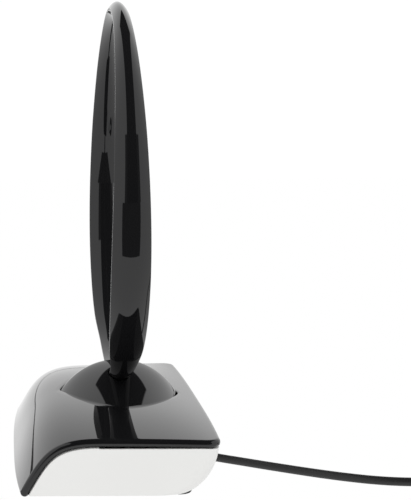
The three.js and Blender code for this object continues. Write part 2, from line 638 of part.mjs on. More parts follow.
COVER_SCREWS.forEach((at, i) => place(`cover_screw_${i + 1}`, screw(3.2, 0.8, 4.7, 15, at, true), STEEL));
FEET.forEach(({ x, y }, i) =>
  place(`foot_${i + 1}`, turned([[0, 0], [5.9, 0], [6.5, 0.6], [6.5, 2.6], [0, 2.6]], x, y, 20), DARK_RUBBER),
);

// What tilts with the loop.
place("loop_outer_band", bandHalf(1), GLOSS_BLACK);
place("loop_inner_band", bandHalf(-1), GLOSS_BLACK);
place("loop_conductor", loopConductor(), ALUMINIUM);
place("hub_shell", hubShell(), GLOSS_BLACK);
place("hub_frame", hubFrame(), INNER_PLASTIC);
for (const [name, side] of SIDES) place(`pivot_pin_${name}`, pivotPin(side), STEEL);
for (const [name, side] of SIDES) place(`friction_washer_${name}`, frictionWasher(side), WHITE_NYLON);
HUB_SCREWS.forEach((at, i) => place(`loop_screw_${i + 1}`, screw(2.6, 1.1, 24.3, 12, at, true), STEEL));

// The lead outside the base.
place("strain_relief", strainRelief(), DARK_RUBBER);
place("cord", solidOf(tube(CORD_ROUTE, CORD_RADIUS, 24)).subtract(cordCoil(GAP)), CORD_JACKET);
place("cord_coil", cordCoil(), CORD_JACKET);
place("cord_tail", solidOf(tube(TAIL_ROUTE, CORD_RADIUS, 6)).subtract(cordCoil(GAP)), CORD_JACKET);
place("coil_tie", coilTie(), INNER_PLASTIC);
place("plug_body", plugBody(), GLOSS_BLACK);
place("plug_sleeve", plugSleeve(), STEEL);
place("plug_insulator", plugInsulator(), WHITE_NYLON);
place("plug_pin", plugPin(), STEEL);

export default aerial;
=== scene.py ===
# %% [markdown]
# # A table-top loop aerial, piece by piece
# The aerial is a closed, lens-edged loop that stands on a spindle-shaped hub. The hub is sunk into a low
# base with a crowned black cover, a pale tray under it, and a coaxial lead that leaves low at the rear. The
# frame file holds every piece at its true size, so this lesson only makes the fine surfaces, the lead, the
# finishes and a studio.

# %% Load the frame
import json
import math

import bmesh
import bpy
import numpy as np
from mathutils import Matrix, Vector

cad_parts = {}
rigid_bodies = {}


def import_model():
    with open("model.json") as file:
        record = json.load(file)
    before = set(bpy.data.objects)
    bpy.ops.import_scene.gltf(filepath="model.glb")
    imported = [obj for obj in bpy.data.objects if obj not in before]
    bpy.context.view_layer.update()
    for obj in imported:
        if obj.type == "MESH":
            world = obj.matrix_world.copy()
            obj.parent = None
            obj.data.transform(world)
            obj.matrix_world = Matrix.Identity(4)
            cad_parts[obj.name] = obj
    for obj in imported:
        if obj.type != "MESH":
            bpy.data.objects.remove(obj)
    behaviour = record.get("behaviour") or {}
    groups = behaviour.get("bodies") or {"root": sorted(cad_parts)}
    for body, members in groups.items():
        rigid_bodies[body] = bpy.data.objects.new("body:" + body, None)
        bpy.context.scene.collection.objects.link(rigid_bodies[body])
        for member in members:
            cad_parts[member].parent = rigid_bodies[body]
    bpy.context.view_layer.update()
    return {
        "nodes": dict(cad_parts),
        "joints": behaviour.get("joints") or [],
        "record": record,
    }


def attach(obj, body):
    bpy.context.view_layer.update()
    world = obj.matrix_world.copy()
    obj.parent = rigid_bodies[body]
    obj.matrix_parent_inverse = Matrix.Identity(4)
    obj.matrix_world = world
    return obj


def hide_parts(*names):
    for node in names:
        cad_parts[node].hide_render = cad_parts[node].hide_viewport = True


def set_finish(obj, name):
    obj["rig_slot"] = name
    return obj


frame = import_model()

tilt_axis = Vector(frame["joints"][0]["pos_m"])
axis_place = tuple(round(v, 4) for v in tilt_axis)
print("the frame holds", len(frame["nodes"]), "pieces; the loop tilts about", axis_place)

# %% [markdown]
# ## Millimetres from the loop's plane
# A maker draws this aerial in millimetres from the plane of the loop. Blender works in metres from the
# middle of the base. Two small helpers turn one into the other, so that every number below can be the
# drawing's own.

# %% Millimetres
MM = 0.001
LOOP_PLANE = tilt_axis.x


def metres(points):
    """Drawing points, in millimetres from the loop's plane, as metres in the frame."""
    return np.asarray(points, float) * MM + np.array([LOOP_PLANE, 0, 0])


def spot(x, y, z):
    return Vector(metres([x, y, z]))


print("the loop's plane is", round(LOOP_PLANE / MM, 2), "mm behind the middle of the base")

# %% [markdown]
# ## The camera
# A product picture of a tall, narrow thing is taken with a long lens from a few steps away, so that near
# and far edges keep almost the same scale. Here it looks along the base from one end, a little from the
# front and from above, so that the loop is seen nearly edge on.

# %% Camera
CAMERA_PLACE = (-61.7, -826.8, 201.0)
TURN, DIP, LEAN = (math.radians(a) for a in (7.781, 5.855, 0.179))

forward = Vector((math.sin(TURN) * math.cos(DIP), math.cos(TURN) * math.cos(DIP), -math.sin(DIP)))
level = Vector((math.cos(TURN), -math.sin(TURN), 0))
upright = level.cross(forward)
right = level * math.cos(LEAN) + upright * math.sin(LEAN)
upward = upright * math.cos(LEAN) - level * math.sin(LEAN)

lens = bpy.data.cameras.new("long_lens")
lens.lens = 104.41
lens.sensor_width = 36
lens.clip_start, lens.clip_end = 0.05, 50
camera = bpy.data.objects.new("camera", lens)
bpy.context.scene.collection.objects.link(camera)
turned = Matrix((right, upward, -forward)).transposed().to_4x4()
camera.matrix_world = Matrix.Translation(spot(*CAMERA_PLACE)) @ turned
bpy.context.scene.camera = camera
print("camera", round((camera.matrix_world.translation - Vector((LOOP_PLANE, 0, 0.1))).length, 3), "m away")

# %% [markdown]
# ## The lead
# A free cord is a fixed length of something flexible, so its length and where it goes come before its
# looks. It could be a swept mesh, but a curve with a round bevel keeps its own centreline, which can be
# measured. The lead leaves the tapered sleeve at the rear, comes down on the table within a few diameters,
# and runs away in one easy bow. What isn't needed is wound as for storage: one layer of turns spirals in on
# the table, and a second layer spirals out on top of it.

# %% The lead's route
LEAD_DIAMETER = 4.6
OUT_OF_SLEEVE = [(50.6, -38.7, 3.0), (53.0, -40.1, 2.8)]
ON_THE_TABLE = [
    (58.0, -43.3, 2.5), (64.5, -48.4, 2.4), (72.2, -55.2, 2.4), (83.8, -65.1, 2.4), (95.2, -74.5, 2.4),
    (106.5, -83.2, 2.4), (117.7, -90.8, 2.4), (128.6, -96.9, 2.4), (140.0, -101.2, 2.4), (152.5, -103.6, 2.4),
    (166.0, -104.4, 2.4), (180.0, -104.1, 2.6), (190.0, -103.4, 2.8),
]
COIL_X, COIL_Y = 199.0, -66.1
COIL_PITCH = 4.7
COIL_OUTER = 37.0
COIL_LOW = 3.0
LAYER_TURNS = 4.125
POINTS_A_TURN = 16


def coil_turns():
    """Inwards on the table, up one diameter, and outwards again, counter-clockwise seen from above."""
    spiral = []
    for step in range(int(2 * LAYER_TURNS * POINTS_A_TURN) + 1):
        turns = step / POINTS_A_TURN
        angle = 2 * math.pi * (turns - 0.25)
        radius = COIL_OUTER - COIL_PITCH * (LAYER_TURNS - abs(turns - LAYER_TURNS))
        lift = min(max(turns - LAYER_TURNS + 0.25, 0) / 0.5, 1)
        height = COIL_LOW + COIL_PITCH * lift * lift * (3 - 2 * lift)
        spiral.append((COIL_X + radius * math.cos(angle), COIL_Y + radius * math.sin(angle), height))
    return spiral


def to_the_plug():
    x = COIL_X + COIL_OUTER
    return [(x, COIL_Y + 7.4, 7.4), (x, COIL_Y + 14.4, 6.5), (x, COIL_Y + 21.4, 5.9), (x, COIL_Y + 25.5, 5.8)]


route = [*OUT_OF_SLEEVE, *ON_THE_TABLE, *coil_turns(), *to_the_plug()]
print("the lead's route has", len(route), "points")


# %% The lead as a curve
def smooth_curve(name, points, diameter):
    data = bpy.data.curves.new(name, "CURVE")
    data.dimensions = "3D"
    data.bevel_depth = 1
    data.bevel_resolution = 6
    data.resolution_u = 8
    data.use_fill_caps = True
    spline = data.splines.new("BEZIER")
    spline.bezier_points.add(len(points) - 1)
    for knot, place in zip(spline.bezier_points, metres(points)):
        knot.co = place
        knot.handle_left_type = knot.handle_right_type = "AUTO"
        knot.radius = diameter * MM / 2
    made = bpy.data.objects.new(name, data)
    bpy.context.scene.collection.objects.link(made)
    return made


def length_of(points):
    steps = np.diff(metres(points), axis=0)
    return float(np.linalg.norm(steps, axis=1).sum())


lead = smooth_curve("lead", route, LEAD_DIAMETER)
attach(lead, "base")
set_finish(lead, "lead_jacket")
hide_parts("cord", "cord_coil", "cord_tail")
print("straight between its points the lead is", round(length_of(route), 3), "m long")

# %% [markdown]
# ## Turning a formula into a mesh
# Every moulded surface here is a sheet of points worked out from a formula. The points could also be
# modelled by hand under a subdivision surface, but a polished black surface shows the smallest dent, and a
# formula has none. `quads` joins rows of points into quads, and `moulding` makes the object and shades it
# smooth between sharp edges.


# %% Mesh helpers
def quads(rows, columns, first=0, close_rows=False, close_columns=False):
    """The faces of a sheet of rows times columns points."""
    faces = []
    for row in range(rows if close_rows else rows - 1):
        below = (row + 1) % rows
        for column in range(columns if close_columns else columns - 1):
            beside = (column + 1) % columns
            faces.append(tuple(first + r * columns + c for r, c in (
                (row, column), (row, beside), (below, beside), (below, column))))
    return faces


def moulding(name, points, faces, sharp=35):
    """A mesh from drawing points, its faces turned outwards, smooth up to the sharp angle in degrees."""
    mesh = bpy.data.meshes.new(name)
    mesh.from_pydata([tuple(p) for p in metres(points)], [], faces)
    mesh.validate()
    made = bpy.data.objects.new(name, mesh)
    bpy.context.scene.collection.objects.link(made)
    face_outwards(mesh)
    smooth(mesh, sharp)
    return made


def face_outwards(mesh):
    work = bmesh.new()
    work.from_mesh(mesh)
    bmesh.ops.remove_doubles(work, verts=work.verts, dist=1e-7)
    bmesh.ops.recalc_face_normals(work, faces=work.faces)
    work.to_mesh(mesh)
    work.free()


def smooth(mesh, sharp):
    mesh.shade_smooth()
    mesh.set_sharp_from_angle(angle=math.radians(sharp))


def cut(piece, *tools, sharp=35):
    """Takes the tools' volumes out of the piece, and the tools out of the scene."""
    for tool in tools:
        change = piece.modifiers.new("cut", "BOOLEAN")
        change.operation, change.solver, change.object = "DIFFERENCE", "EXACT", tool
    finished = bpy.data.meshes.new_from_object(piece.evaluated_get(bpy.context.evaluated_depsgraph_get()))
    piece.modifiers.clear()
    piece.data = finished
    for tool in tools:
        bpy.data.objects.remove(tool)
    smooth(finished, sharp)
    return piece


def put(piece, body, slot, *nodes):
    """The piece rides on a body, takes its finish from a slot and stands for the CAD nodes."""
    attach(piece, body)
    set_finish(piece, slot)
    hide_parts(*nodes)
    print(f"{piece.name}: {len(piece.data.polygons)} faces for {', '.join(nodes)}")
    return piece


# %% [markdown]
# ## Smooth numbers
# Two shapes are given by a few measures along a line: the loop's width round its circle and the cover's
# side profile. A straight line between measures would leave a crease that gloss shows, so the first helper
# passes a cubic through them, and the second is the Bezier curve that the cover's front rolls down.


# %% Curves through measures
def through(knots, at):
    """A smooth value at `at` through (place, value) knots, level at both ends."""
    places, values = np.array(knots, float).T
    slopes = np.zeros(len(values))
    slopes[1:-1] = (values[2:] - values[:-2]) / (places[2:] - places[:-2])
    at = np.clip(at, places[0], places[-1])
    i = np.clip(np.searchsorted(places, at) - 1, 0, len(places) - 2)
    gap = places[i + 1] - places[i]
    t = (at - places[i]) / gap
    rise = 3 * t**2 - 2 * t**3
    return (
        values[i] * (1 - rise) + values[i + 1] * rise
        + gap * (slopes[i] * (t**3 - 2 * t**2 + t) + slopes[i + 1] * (t**3 - t**2))
    )


def bezier(p0, p1, p2, p3, count):
    t = np.linspace(0, 1, count)[:, None]
    p0, p1, p2, p3 = (np.array(p, float) for p in (p0, p1, p2, p3))
    return (1 - t) ** 3 * p0 + 3 * (1 - t) ** 2 * t * p1 + 3 * (1 - t) * t**2 * p2 + t**3 * p3


print("the middle of a level-ended rise from 0 to 1 is", float(through([(0, 0), (1, 1)], 0.5)))

# %% [markdown]
# ## The base's one outer form
# The cover and the tray under it share one form, as two mouldings from one drawing do. It starts as a side
# profile drawn out along the base. Then the sides close in towards the front, the front edge bows forward,
# and the top is crowned, which is what makes the reflections on the deck curve. Working along the profile
# by its own length keeps roundings the same size on the flat deck and on the steep front.

# %% The base's form
HALF_LENGTH = 111.5
FLARE = 0.11
FRONT, REAR = -59.9, 44.7
TOP_REAR, TOP_FRONT, NOSE = (REAR, 29.4), (-18.0, 30.1), (-56.6, 3.7)
NOSE_SLOPE = (0.51, 0.86)
NOSE_REACH, TOP_REACH = 20.0, 25.0
NOSE_TIP = 2.0  # the rounded nose goes on this far past the drawn line's end
CROWN_HEIGHT, CROWN_X = 6.8, -22.0
BOW, ROLL_BOW, REAR_BOW = 3.0, 4.0, 2.2
PLAN_CORNER = 8.0
TRAY_BOTTOM = 1.0
TRAY_REAR, TRAY_HEEL = (43.9, 24.7), (22.0, TRAY_BOTTOM)


def form(points):
    """Where drawn-out profile points end up: flared, bowed and crowned."""
    x, y, z = np.asarray(points, float).T
    share = np.clip(np.abs(y) / HALF_LENGTH, 0, 1)
    reach = np.where(x < CROWN_X, CROWN_X - FRONT, REAR - CROWN_X)
    height = CROWN_HEIGHT * (1 - share**2.5) * (1 - np.clip(np.abs(x - CROWN_X) / reach, 0, 1) ** 3)
    onwards = np.clip((TOP_FRONT[0] - x) / (TOP_FRONT[0] - NOSE[0]), 0, 1)
    rearward = np.clip((x - TRAY_HEEL[0]) / (REAR - TRAY_HEEL[0]), 0, 1)
    side = HALF_LENGTH - FLARE * (REAR - PLAN_CORNER - x)
    bows = REAR_BOW * rearward**2 - BOW * onwards - 4 * ROLL_BOW * onwards * (1 - onwards)
    return np.stack([
        x + bows * (1 - share**3),
        y * side / HALF_LENGTH,
        z + height * (z / TOP_FRONT[1]) ** 2,
    ], axis=1)


class Profile:
    """A line in the base's side view, [x, z] points, that can be asked for its place by length."""

    def __init__(self, line):
        self.line = np.array(line, float)
        steps = np.linalg.norm(np.diff(self.line, axis=0), axis=1)
        self.reach = np.concatenate([[0], np.cumsum(steps)])
        self.length = self.reach[-1]

    def at(self, a):
        return np.stack([np.interp(a, self.reach, self.line[:, k]) for k in (0, 1)], axis=-1)

    def surface(self, a, y, depth, beside=0.15):
        """Formed points at length a and width y, moved by depth inwards along the surface's own normal."""
        a, y, depth = np.broadcast_arrays(*(np.asarray(value, float) for value in (a, y, depth)))

        def sheet(a, y):
            place = self.at(a)
            return form(np.stack([place[..., 0].ravel(), y.ravel(), place[..., 1].ravel()], axis=1))

        here = sheet(a, y)
        along = sheet(np.minimum(a + beside, self.length), y) - sheet(np.maximum(a - beside, 0), y)
        across = sheet(a, y + beside) - sheet(a, y - beside)
        inward = np.cross(along, across)
        inward /= np.linalg.norm(inward, axis=1, keepdims=True)
        return here + inward * depth.reshape(-1, 1)


def softened(line, spread=9.0, step=0.1):
    """The same line with each bend spread over a length, so that no curve begins all at once."""
    drawn = Profile(line)
    count = int(drawn.length / step)
    points = drawn.at(np.linspace(0, drawn.length, count + 1))
    heading = np.unwrap(np.arctan2(*np.diff(points, axis=0).T[::-1]))
    reach = int(spread / step)
    weights = np.hanning(2 * reach + 1)
    padded = np.concatenate([np.full(reach, heading[0]), heading, np.full(reach, heading[-1])])
    heading = np.convolve(padded, weights / weights.sum(), "valid")
    steps = drawn.length / count * np.stack([np.cos(heading), np.sin(heading)], axis=1)
    softer = points[0] + np.vstack([[0, 0], np.cumsum(steps, axis=0)])
    return softer + np.linspace(0, 1, count + 1)[:, None] * (points[-1] - softer[-1])


def cover_line(count=600):
    share = np.linspace(0, 1, count)
    fall = (TOP_FRONT[1] - TOP_REAR[1]) * (1 - share) ** 1.6
    top = np.stack([TOP_REAR[0] + (TOP_FRONT[0] - TOP_REAR[0]) * share, TOP_FRONT[1] - fall], axis=1)
    before_top = (TOP_FRONT[0] - TOP_REACH, TOP_FRONT[1])
    above_nose = (NOSE[0] + NOSE_SLOPE[0] * NOSE_REACH, NOSE[1] + NOSE_SLOPE[1] * NOSE_REACH)
    tip = np.array(NOSE) - np.linspace(0, NOSE_TIP, 21)[1:, None] * NOSE_SLOPE
    return softened(np.vstack([top[:-1], bezier(TOP_FRONT, before_top, above_nose, NOSE, count), tip]))


cover_profile = Profile(cover_line())
print("the cover's profile is", round(cover_profile.length, 1), "mm long")

# %% [markdown]
# ## The hub's outline
# The hub is a spindle: round in section and thinner towards both ends. A power law gives its outline. The
# same function shapes the hub, and cuts the opening that it sits in.

# %% The hub's outline
AXIS_HEIGHT = tilt_axis.z / MM
HUB_RADIUS, HUB_TAPER, HUB_TIP, HUB_POWER = 39.2, 18.0, 50.0, 1.4
HUB_HALF_LENGTH = 54.0
OPENING_GAP = 0.8


def hub_radius(y):
    return HUB_RADIUS - HUB_TAPER * (np.abs(y) / HUB_TIP) ** HUB_POWER


end_thickness = round(2 * float(hub_radius(HUB_HALF_LENGTH)), 1)
print("the hub is", 2 * HUB_RADIUS, "mm thick at its middle and", end_thickness, "mm at its ends")

# %% [markdown]
# ## The cover
# The cover is one polished moulding: a crowned deck that rolls down at the front to a rounded nose, with a
# thick open edge all round and an almond-shaped opening for the hub. It could be cut from a block with
# booleans, but gloss shows every sliver that a boolean leaves. So the sheet is laid out as rings instead,
# from the outer edge in to the opening, and each ring lies exactly on the form. The first rings turn the
# edge's rounding, which is nearly a half round, so that the rim shows a dark line over a paler one.

# %% The cover's edges
COVER_THICK = 4.3
COVER_SKIN = 2.4
THICK_EDGE = 2.7  # how far in the thick edge goes before the sheet thins to its skin
NOSE_BLEND = 14.0  # the length over which the edge's rounding grows to the nose's
EDGE_ROUND = 2.0
NOSE_ROUND = 2.1
OPENING_ROUND = 0.45
FRONT_CORNER = 1.2


def outer_edge(spacing=1.6, corner_steps=14):
    """The cover's edge as (length along the profile, y) with its inward direction, once round."""
    far = cover_profile.length
    half = HALF_LENGTH

    def straight(start, end, inward):
        start, end = np.array(start, float), np.array(end, float)
        count = int(np.linalg.norm(end - start) / spacing)
        t = np.linspace(0, 1, count, endpoint=False)[1:, None]
        return [(*p, *inward) for p in start + (end - start) * t]

    def corner(centre, radius, first):
        turn = np.radians(first) + np.linspace(0, math.pi / 2, corner_steps)
        return [
            (centre[0] + radius * math.cos(t), centre[1] + radius * math.sin(t), -math.cos(t), -math.sin(t))
            for t in turn
        ]

    r, f = PLAN_CORNER, FRONT_CORNER
    ring = [
        *corner((r, -half + r), r, 180), *straight((r, -half), (far - f, -half), (0, 1)),
        *corner((far - f, -half + f), f, 270), *straight((far, -half + f), (far, half - f), (-1, 0)),
        *corner((far - f, half - f), f, 0), *straight((far - f, half), (r, half), (0, -1)),
        *corner((r, half - r), r, 90), *straight((0, half - r), (0, -half + r), (1, 0)),
    ]
    return np.array(ring)


def opening_edge(ring, depth):
    """Where the hub's space meets the cover at a depth, straight in from each edge point to the middle."""
    middle = np.array([np.interp(0, -cover_profile.line[:, 0], cover_profile.reach), 0])
    out = ring[:, :2] - middle
    low, high = np.zeros(len(out)), np.ones(len(out))
    for _ in range(40):
        share = (low + high) / 2
        place = middle + out * share[:, None]
        p = cover_profile.surface(place[:, 0], place[:, 1], depth)
        outside = np.hypot(p[:, 0], p[:, 2] - AXIS_HEIGHT) > hub_radius(p[:, 1]) + OPENING_GAP
        low, high = np.where(outside, low, share), np.where(outside, share, high)
    return middle + out * high[:, None]


edge = outer_edge()
mouth_above, mouth_below = opening_edge(edge, 0), opening_edge(edge, COVER_SKIN)
opening_length = round(float(np.ptp(mouth_above[:, 1])))
print("the cover's edge has", len(edge), "points; its opening is", opening_length, "mm long")


# %% The cover's sheet
def rounded(radius, steps):
    """(inset, depth) pairs that turn a rounding of that radius from the side wall up to the top."""
    turn = np.linspace(0, math.pi / 2, steps)[:, None]
    return radius * (1 - np.cos(turn)), radius * (1 - np.sin(turn))


def cover_rings(below):
    """Rings of formed points from the edge in to the opening, on the outer face or on the one below it."""
    mouth = mouth_below if below else mouth_above
    near_nose = np.clip((edge[:, 0] - cover_profile.length + NOSE_BLEND) / NOSE_BLEND, 0, 1)
    radius = EDGE_ROUND + (NOSE_ROUND - EDGE_ROUND) * near_nose**2 * (3 - 2 * near_nose)
    insets, depths = rounded(radius[None, :], 7)
    place, inward = edge[:, :2], edge[:, 2:]
    rows = [(place + inward * inset[:, None], depth, COVER_THICK) for inset, depth in zip(insets, depths)]
    hold = place + inward * THICK_EDGE
    to_mouth = mouth - hold
    far = np.linalg.norm(to_mouth, axis=1, keepdims=True)
    for share in [0, 0.02, 0.05, 0.09, *np.linspace(0.13, 0.9, 30), 0.94, 0.97]:
        thick = COVER_SKIN if share > 0.04 else COVER_THICK
        rows.append((hold + to_mouth * share * (far - 2) / far, 0 * radius, thick))
    for inset, depth in zip(*(turn[::-1, 0] for turn in rounded(OPENING_ROUND, 5))):
        rows.append((mouth - to_mouth / far * inset, 0 * radius + depth, COVER_SKIN))
    return [
        cover_profile.surface(place[:, 0], place[:, 1], thick - depth if below else depth)
        for place, depth, thick in rows
    ]


def top_cover():
    outside, inside = cover_rings(False), cover_rings(True)
    rings = outside + inside[::-1]
    faces = quads(len(rings), len(edge), close_rows=True, close_columns=True)
    return moulding("cover", np.vstack(rings), faces, 40)


cover = put(top_cover(), "base", "gloss_black", "top_cover")

# %% [markdown]
# ## The tray
# The pale tray under the cover is a shallow moulded boat. Its ends stand a little inside the cover's edge,
# and its rear wall sweeps under in one curve, which makes the base look as if it floats. It is drawn out
# along its own profile like the cover, its two ends are closed, and a solidify modifier then gives the wall
# its thickness. The edge between profile and ends is sharp in front, where the cover hides it, and turns a
# wide round at the rear.

# %% The tray's skin
GAP = 0.3
TRAY_INSET, TRAY_WALL = 0.6, 2.2
TRAY_ROOF_START = -17.0
TRAY_EDGE_ROUND = 0.35
CORNER_START, CORNER_BLEND = 12.0, 26.0  # where the ends' edges begin to turn into wide corners
TRAY_END = HALF_LENGTH - TRAY_INSET


def tray_line():
    """From under the cover's deck down the front, along the bottom and up the rear."""
    depth = COVER_THICK + GAP
    steps = np.gradient(cover_profile.line, axis=0)
    steps /= np.linalg.norm(steps, axis=1, keepdims=True)
    under = cover_profile.line + depth * np.stack([-steps[:, 1], steps[:, 0]], axis=1)
    front = under[(under[:, 0] < TRAY_ROOF_START) & (under[:, 1] > TRAY_BOTTOM + 1)]
    rear = bezier(TRAY_HEEL, (36.5, TRAY_BOTTOM), (43.2, 15.0), TRAY_REAR, 60)
    slope = (front[-1] - front[-8]) / (front[-1] - front[-8])[1]
    foot = front[-1] + slope * (TRAY_BOTTOM - front[-1][1])
    bottom = np.linspace(foot, TRAY_HEEL, 40)
    return np.vstack([front, bottom, rear[1:]])


tray_profile = Profile(tray_line())


def tray_skin():
    line = tray_profile.line
    a = np.linspace(0, tray_profile.length, 130)
    place = tray_profile.at(a)
    rearwards = np.clip((place[:, 0] - CORNER_START) / CORNER_BLEND, 0, 1)
    growth = PLAN_CORNER - TRAY_INSET - TRAY_EDGE_ROUND
    radius = TRAY_EDGE_ROUND + growth * rearwards**2 * (3 - 2 * rearwards)
    insets, depths = rounded(radius[None, :], 9)
    near = [(-TRAY_END + inset, depth) for inset, depth in zip(insets, depths)]
    far = [(TRAY_END - inset, depth) for inset, depth in zip(insets[::-1], depths[::-1])]
    middle = [(0 * a + y, 0 * a) for y in np.linspace(-TRAY_END + 10, TRAY_END - 10, 60)]
    rows = near + middle + far
    points = np.vstack([tray_profile.surface(a, y, depth) for y, depth in rows])
    count = len(a)
    faces = quads(len(rows), count)
    faces += [tuple(range(count)), tuple(range((len(rows) - 1) * count, len(rows) * count))]
    return moulding("tray", points, faces, 30)


def post(x, y, low, high, radius, sides=48):
    """A plain round cutter or boss, upright."""
    turn = np.linspace(0, 2 * math.pi, sides, endpoint=False)
    ring = np.stack([x + radius * np.cos(turn), y + radius * np.sin(turn)], axis=1)
    points = np.vstack([np.column_stack([ring, 0 * turn + z]) for z in (low, high)])
    faces = quads(2, sides, close_columns=True) + [tuple(range(sides)), tuple(range(sides, 2 * sides))]
    return moulding("post", points, faces)


print("the tray's profile is", round(tray_profile.length, 1), "mm long")

# %% [markdown]
# ## The strain relief
# Where the lead leaves the tray it passes through a soft sleeve that tapers and is cut by rings, so that it
# bends evenly and the lead never folds at the wall. It follows the lead's own way out, so it is lofted:
# round sections of a changing radius are set along a curve.


# %% Lofting round sections along a curve
RELIEF_WAY = [
    (28.3, -26.95, 9.8), (31.0, -28.2, 9.0), (36.0, -30.4, 7.6), (41.0, -33.0, 5.5), (45.0, -35.3, 4.0),
    (49.0, -37.7, 3.2), (52.6, -39.85, 2.85),
]


def along(way, count):
    """Evenly spread points of a smooth curve through the way's points."""
    way = np.array(way, float)
    reach = np.concatenate([[0], np.cumsum(np.linalg.norm(np.diff(way, axis=0), axis=1))])
    slopes = np.gradient(way, reach, axis=0)
    at = np.linspace(0, reach[-1], count)
    i = np.clip(np.searchsorted(reach, at) - 1, 0, len(way) - 2)
    gap = (reach[i + 1] - reach[i])[:, None]
    t = (at - reach[i])[:, None] / gap
    rise = 3 * t**2 - 2 * t**3
    return (
        way[i] * (1 - rise) + way[i + 1] * rise
        + gap * (slopes[i] * (t**3 - 2 * t**2 + t) + slopes[i + 1] * (t**3 - t**2))
    )


def loft(centres, radii, sides=40):
    """Points of round sections of the given radii, set square to the curve at each centre."""
    ways = np.gradient(centres, axis=0)
    ways /= np.linalg.norm(ways, axis=1, keepdims=True)
    turn = np.linspace(0, 2 * math.pi, sides, endpoint=False)
    rows = []
    for centre, way, radius in zip(centres, ways, radii):
        side = np.cross(way, (0, 0, 1))
        side /= np.linalg.norm(side)
        up = np.cross(side, way)
        rows.append(centre + radius * (np.cos(turn)[:, None] * side + np.sin(turn)[:, None] * up))
    return np.vstack(rows)


def sleeve(name, radius_at, count=180, sides=40):
    share = np.linspace(0, 1, count)
    points = loft(along(RELIEF_WAY, count), [radius_at(s) for s in share], sides)
    last = (count - 1) * sides
    faces = quads(count, sides, close_columns=True) + [tuple(range(sides)), tuple(range(last, last + sides))]
    return moulding(name, points, faces, 45)


def relief_radius(share):
    """A collar at the wall, then rings on a taper, then a short straight narrowing at the tip."""
    if share < 0.1:
        return 3.65
    taper = 3.55 - 0.9 * share
    if 0.16 < share < 0.86:
        wave = math.cos(2 * math.pi * (share - 0.16) * 12)
        return taper - 0.42 * min(max(0.5 - 1.6 * wave, 0), 1)
    return taper - 0.25 * max(share - 0.95, 0) / 0.05


relief = put(sleeve("relief", relief_radius), "base", "rubber", "strain_relief")

# %% [markdown]
# ## Bosses, recesses and the hole for the lead
# Four rubber feet sit in shallow recesses, and four screws go up through bosses into the cover. These are
# plain round cuts in a satin surface, so here booleans are the right tool: first the bosses are joined on,
# then all the recesses are taken out at once.

# %% The tray, finished
COVER_SCREWS = [(x, side * y) for x, y in ((-26, 80), (14, 88)) for side in (-1, 1)]
FOOT_PLACES = [(x, side * y) for x, y in ((-38, 90), (24.5, 98)) for side in (-1, 1)]


def lower_shell():
    tray = tray_skin()
    wall = tray.modifiers.new("wall", "SOLIDIFY")
    wall.thickness, wall.offset, wall.use_even_offset = TRAY_WALL * MM, -1, True
    bosses = [post(x, y, TRAY_BOTTOM + 1.2, 7.6, 5) for x, y in COVER_SCREWS]
    for boss in bosses:
        change = tray.modifiers.new("boss", "BOOLEAN")
        change.operation, change.solver, change.object = "UNION", "EXACT", boss
    recesses = [post(x, y, -1, 2.9, 6.8) for x, y in FOOT_PLACES]
    recesses += [post(x, y, -1, 5, 3.6) for x, y in COVER_SCREWS]
    recesses += [post(x, y, 4, 9, 1.8) for x, y in COVER_SCREWS]
    hole = sleeve("hole", lambda share: 3.85, 30)
    cut(tray, hole, *recesses, sharp=30)
    for boss in bosses:
        bpy.data.objects.remove(boss)
    return tray


tray = put(lower_shell(), "base", "pale_shell", "lower_shell")

# %% [markdown]
# ## Turned pieces
# Feet and the plug's pieces are round, so each is a side line turned about its axis. The line carries the
# small roundings and grooves that show at arm's length. One function turns a line about an upright axis or
# along Y.


# %% Turning
def turn_line(name, line, place, upright=True, sides=64):
    """A round piece from (radius, height) points that start and end on its axis or close on themselves."""
    line = np.array(line, float)
    closed = bool(line[0][0] > 0)
    angle = np.linspace(0, 2 * math.pi, sides, endpoint=False)
    rings = []
    for radius, height in line:
        a, b = radius * np.cos(angle), radius * np.sin(angle)
        lift = 0 * angle + height
        rings.append(np.stack([a, b, lift] if upright else [a, lift, b], axis=1) + np.array(place, float))
    faces = quads(len(line), sides, close_rows=closed, close_columns=True)
    return moulding(name, np.vstack(rings), faces, 40)


# %% Feet
FOOT_LINE = [
    (0, 0.25), (2.2, 0.25), (2.6, 0.1), (3.0, 0.02), (5.5, 0.02), (6.0, 0.15), (6.35, 0.5), (6.5, 0.95),
    (6.5, 2.6), (0, 2.6),
]
for number, (x, y) in enumerate(FOOT_PLACES, 1):
    put(turn_line(f"foot_pad_{number}", FOOT_LINE, (x, y, 0)), "base", "rubber", f"foot_{number}")

# %% [markdown]
# ## The plug
# The lead ends in the usual coaxial aerial plug: a moulded grip with ribs for the fingers, a split metal
# sleeve with a pressed lip, a white insulator and a thin solid pin. It lies beside the coil, on the table.

# %% The plug's pieces
PLUG = (COIL_X + COIL_OUTER, COIL_Y + 21.7, 5.8)


def grip_line():
    line = [(0, 0), (2.6, 0), (2.9, 0.3), (3.05, 3), (3.4, 6), (4.3, 7.6), (5.0, 9), (5.4, 10.4)]
    for rib in range(8):
        start = 11.2 + rib * 1.9
        line += [(5.5, start), (5.5, start + 0.9), (5.15, start + 1.15), (5.15, start + 1.6)]
    return [*line, (5.5, 27), (5.5, 30), (5.35, 30.6), (5.0, 31), (4.45, 31), (4.4, 30.9), (4.4, 25), (0, 25)]


